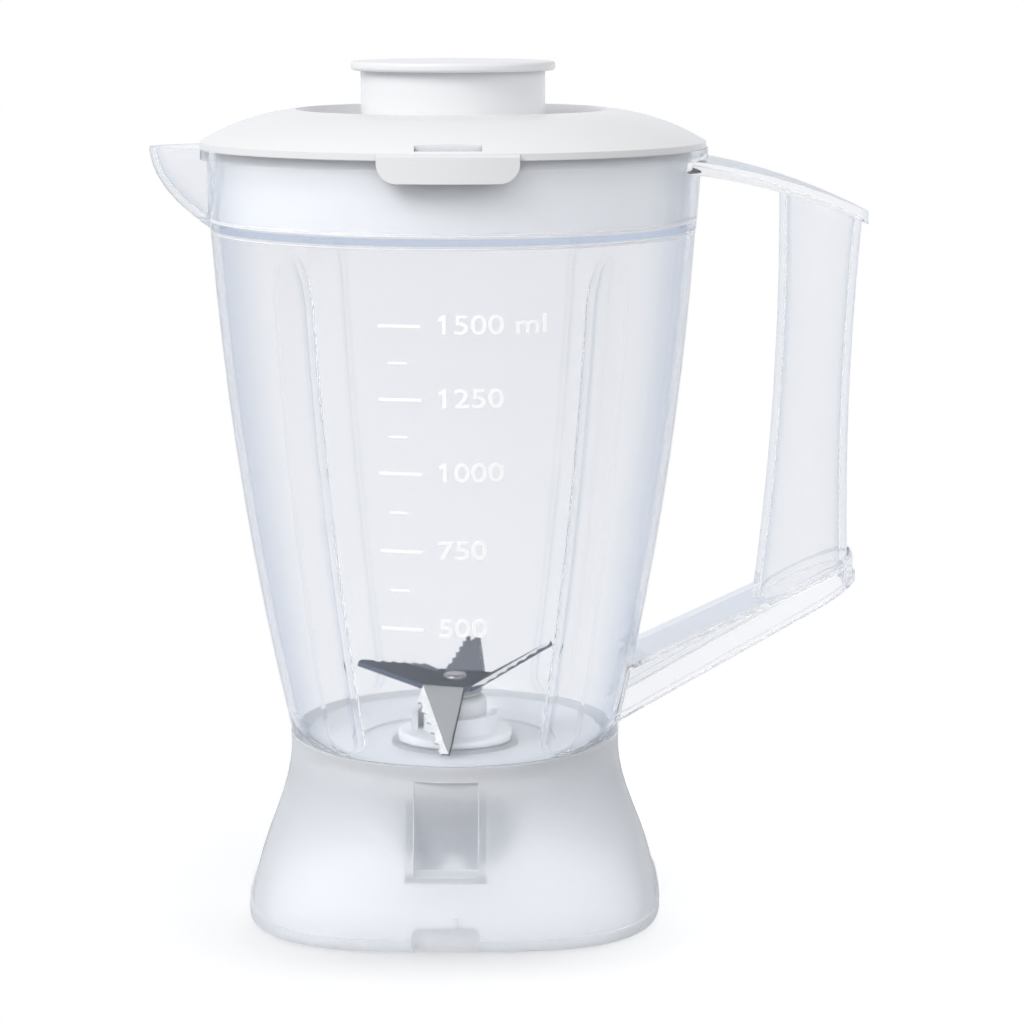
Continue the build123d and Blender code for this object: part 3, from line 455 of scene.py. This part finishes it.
# White polypropylene is bright and glossy, with slow waves of about 12 mm from the mould.
# It is greyer in the slot and in inner corners, where less light comes to it.
CORNER_REACH = 0.006
white_pp, tree, place = new_material("polypropylene_white_gloss")
waves = add_node(tree, "ShaderNodeTexNoise", {"Vector": place, "Scale": 1 / 0.012, "Detail": 2.0})
shade = add_node(tree, "ShaderNodeMapRange", {"Value": waves.outputs["Fac"], "To Min": 0.2, "To Max": 0.28})
bump = add_node(tree, "ShaderNodeBump", {
    "Height": waves.outputs["Fac"], "Strength": 0.03, "Distance": 0.001})
open_air = add_node(tree, "ShaderNodeAmbientOcclusion", {
    "Distance": CORNER_REACH}, samples=8, only_local=True).outputs["AO"]
open_air = add_node(tree, "ShaderNodeMapRange", {
    "Value": open_air, "From Min": 0.35, "From Max": 0.85}).outputs["Result"]
tint = add_node(tree, "ShaderNodeMix", {
    "Factor": open_air, "A": linear("#c6c9cf"), "B": linear("#f4f5f6")}, data_type="RGBA").outputs["Result"]
surface = add_node(tree, "ShaderNodeBsdfPrincipled", {
    "Base Color": tint, "Roughness": shade.outputs["Result"], "IOR": 1.49,
    "Normal": bump.outputs["Normal"]})
add_node(tree, "ShaderNodeOutputMaterial", {"Surface": surface.outputs["BSDF"]})
dressed_copy("lid", "lid_moulding", "lid", "white_plastic", white_pp)


# Filler cap
# A small hollow top hat moulded in the lid's white polypropylene.
# It drops into the lid's collar and lifts out, and also serves as a measure.

dressed_copy("filler_cap", "filler_cap_moulding", "cap", "white_plastic", white_pp)


# Table
# A matt white paper sweep that the jar stands on, wide enough to run out of sight.
# It looks white to the camera and in what steel and clear plastic show, and keeps the jar's soft shadow.

TABLE_SIZE = 12.0
TABLE_TOP = -0.0002
TABLE_LIFT = 0.6
SHADOW_REACH, SHADOW_DEPTH = 0.035, 0.55
SHADOW_BACK, SHADOW_FRONT, SHADOW_BEHIND = -0.02, -0.07, 0.15

bpy.ops.object.select_all(action="DESELECT")
bpy.ops.mesh.primitive_plane_add(size=TABLE_SIZE, location=(0, 0, TABLE_TOP))
floor = bpy.context.object
floor.name = "floor"
bpy.ops.object.transform_apply(location=True, rotation=True, scale=True)

# Paper is matt, and lit by the room alone it is grey. A lift makes it white where it is looked at,
# and is less close to the jar's foot, mostly in front, where the contact shadow lies.
# The lift stays out of the light that the jar's own pieces gather from the table.
paper, tree, place = new_material("matt_white_paper")
rays = add_node(tree, "ShaderNodeLightPath").outputs
seen = add_node(tree, "ShaderNodeMath", {
    0: rays["Is Camera Ray"], 1: rays["Is Glossy Ray"]}, operation="MAXIMUM").outputs[0]
seen = add_node(tree, "ShaderNodeMath", {
    0: seen, 1: rays["Is Transmission Ray"]}, operation="MAXIMUM").outputs[0]
first = add_node(tree, "ShaderNodeMath", {
    0: rays["Diffuse Depth"], 1: 0.5}, operation="LESS_THAN").outputs[0]
seen = add_node(tree, "ShaderNodeMath", {0: seen, 1: first}, operation="MULTIPLY").outputs[0]
near = add_node(tree, "ShaderNodeAmbientOcclusion", {"Distance": SHADOW_REACH}, samples=8).outputs["AO"]
near = add_node(tree, "ShaderNodeMapRange", {
    "Value": near, "From Min": 0.4, "To Min": SHADOW_DEPTH, "To Max": 0.0}).outputs["Result"]
front = add_node(tree, "ShaderNodeSeparateXYZ", {"Vector": place}).outputs["Y"]
front = add_node(tree, "ShaderNodeMapRange", {
    "Value": front, "From Min": SHADOW_BACK, "From Max": SHADOW_FRONT,
    "To Min": SHADOW_BEHIND}).outputs["Result"]
shadow = add_node(tree, "ShaderNodeMath", {0: near, 1: front}, operation="MULTIPLY").outputs[0]
lift = add_node(tree, "ShaderNodeMath", {0: TABLE_LIFT, 1: shadow}, operation="SUBTRACT").outputs[0]
lift = add_node(tree, "ShaderNodeMath", {0: seen, 1: lift}, operation="MULTIPLY").outputs[0]
matt = add_node(tree, "ShaderNodeBsdfDiffuse", {"Color": linear("#f1f1f2")})
glow = add_node(tree, "ShaderNodeEmission", {"Color": linear("#ffffff"), "Strength": lift})
both = add_node(tree, "ShaderNodeAddShader", {0: matt.outputs["BSDF"], 1: glow.outputs["Emission"]})
add_node(tree, "ShaderNodeOutputMaterial", {"Surface": both.outputs["Shader"]})
floor.data.materials.append(paper)


# White room
# A plain white studio round the table. To the camera and through the clear plastic it is pure white,
# while the light that it gives the jar is soft and a little less.

room = bpy.data.worlds.new("white_room")
room.use_nodes = True
tree = room.node_tree
tree.nodes.clear()
rays = add_node(tree, "ShaderNodeLightPath").outputs
direction = add_node(tree, "ShaderNodeTexCoord").outputs["Generated"]
parts = add_node(tree, "ShaderNodeSeparateXYZ", {"Vector": direction}).outputs

# What lights the surfaces, and what gloss shows, is white low down and greyer towards the ceiling.
walls = add_node(tree, "ShaderNodeMapRange", {
    "Value": parts["Z"], "From Min": 0.0, "From Max": 0.9, "To Min": 0.64, "To Max": 0.4})
light = add_node(tree, "ShaderNodeBackground", {
    "Color": linear("#fdfdff"), "Strength": walls.outputs["Result"]})
ceiling = add_node(tree, "ShaderNodeMapRange", {
    "Value": parts["Z"], "From Min": 0.15, "From Max": 0.8, "To Min": 1.0, "To Max": 0.5})
glossy = add_node(tree, "ShaderNodeBackground", {
    "Color": linear("#f4f7fb"), "Strength": ceiling.outputs["Result"]})

# A matt piece inside the jar gathers light only through the wall, where no lamp reaches it. So what it
# gathers is stronger from above and from the left, as if the lamps shone in.
through = add_node(tree, "ShaderNodeMath", {
    0: rays["Diffuse Depth"], 1: 1.0}, operation="MINIMUM").outputs[0]
from_left = add_node(tree, "ShaderNodeMapRange", {
    "Value": parts["X"], "From Min": -1.0, "To Min": 0.5, "To Max": 0.05}).outputs["Result"]
from_above = add_node(tree, "ShaderNodeMapRange", {
    "Value": parts["Z"], "From Min": 0.1, "From Max": 0.7, "To Max": 0.9}).outputs["Result"]
boost = add_node(tree, "ShaderNodeMath", {0: from_left, 1: from_above}, operation="ADD").outputs[0]
gathered = add_node(tree, "ShaderNodeMath", {
    0: through, 1: boost, 2: 1.0}, operation="MULTIPLY_ADD").outputs[0]
white = add_node(tree, "ShaderNodeBackground", {"Color": linear("#ffffff"), "Strength": gathered})

seen = add_node(tree, "ShaderNodeMath", {
    0: rays["Is Camera Ray"], 1: rays["Is Transmission Ray"]}, operation="MAXIMUM").outputs[0]
mixed = add_node(tree, "ShaderNodeMixShader", {
    0: rays["Is Glossy Ray"], 1: light.outputs["Background"], 2: glossy.outputs["Background"]})
mixed = add_node(tree, "ShaderNodeMixShader", {
    0: seen, 1: mixed.outputs["Shader"], 2: white.outputs["Background"]})
add_node(tree, "ShaderNodeOutputWorld", {"Surface": mixed.outputs["Shader"]})
bpy.context.scene.world = room


# Studio lamps
# Two large softboxes in front of the jar. The left one gives most of the light, and the right one
# only lightens the shaded side.

JAR_MIDDLE = Vector((0, 0, 0.12))
SOFTBOXES = (
    ("key_softbox", (-1.0, -1.0, 1.4), 0.9, 0.9, 21.0),
    ("fill_softbox", (1.3, -0.9, 1.0), 0.8, 1.0, 4.0))

# The lamps leave out the table, so that it shows only the soft shadow of the room's light.
unlit = bpy.data.collections.new("not_lit_by_lamps")
unlit.objects.link(floor)
unlit.collection_objects[0].light_linking.link_state = "EXCLUDE"
for name, stand, width, tall, power in SOFTBOXES:
    lamp = bpy.data.lights.new(name, "AREA")
    lamp.shape = "RECTANGLE"
    lamp.size = width
    lamp.size_y = tall
    lamp.energy = power
    holder = bpy.data.objects.new(name, lamp)
    holder.location = stand
    holder.rotation_euler = (JAR_MIDDLE - Vector(stand)).to_track_quat("-Z", "Y").to_euler()
    bpy.context.scene.collection.objects.link(holder)
    holder.light_linking.receiver_collection = unlit


# Camera
# A long lens in front of the jar, a little above the lid and tilted down, as the photograph was taken.

CAMERA_PLACE = (0.0176, -0.903, 0.2779)
CAMERA_TILT = 9.96

camera = bpy.data.cameras.new("camera")
camera.sensor_width = 36.0
camera.lens = 105.5
camera_stand = bpy.data.objects.new("camera", camera)
camera_stand.location = CAMERA_PLACE
camera_stand.rotation_euler = (radians(90 - CAMERA_TILT), 0, 0)
bpy.context.scene.collection.objects.link(camera_stand)
bpy.context.scene.camera = camera_stand
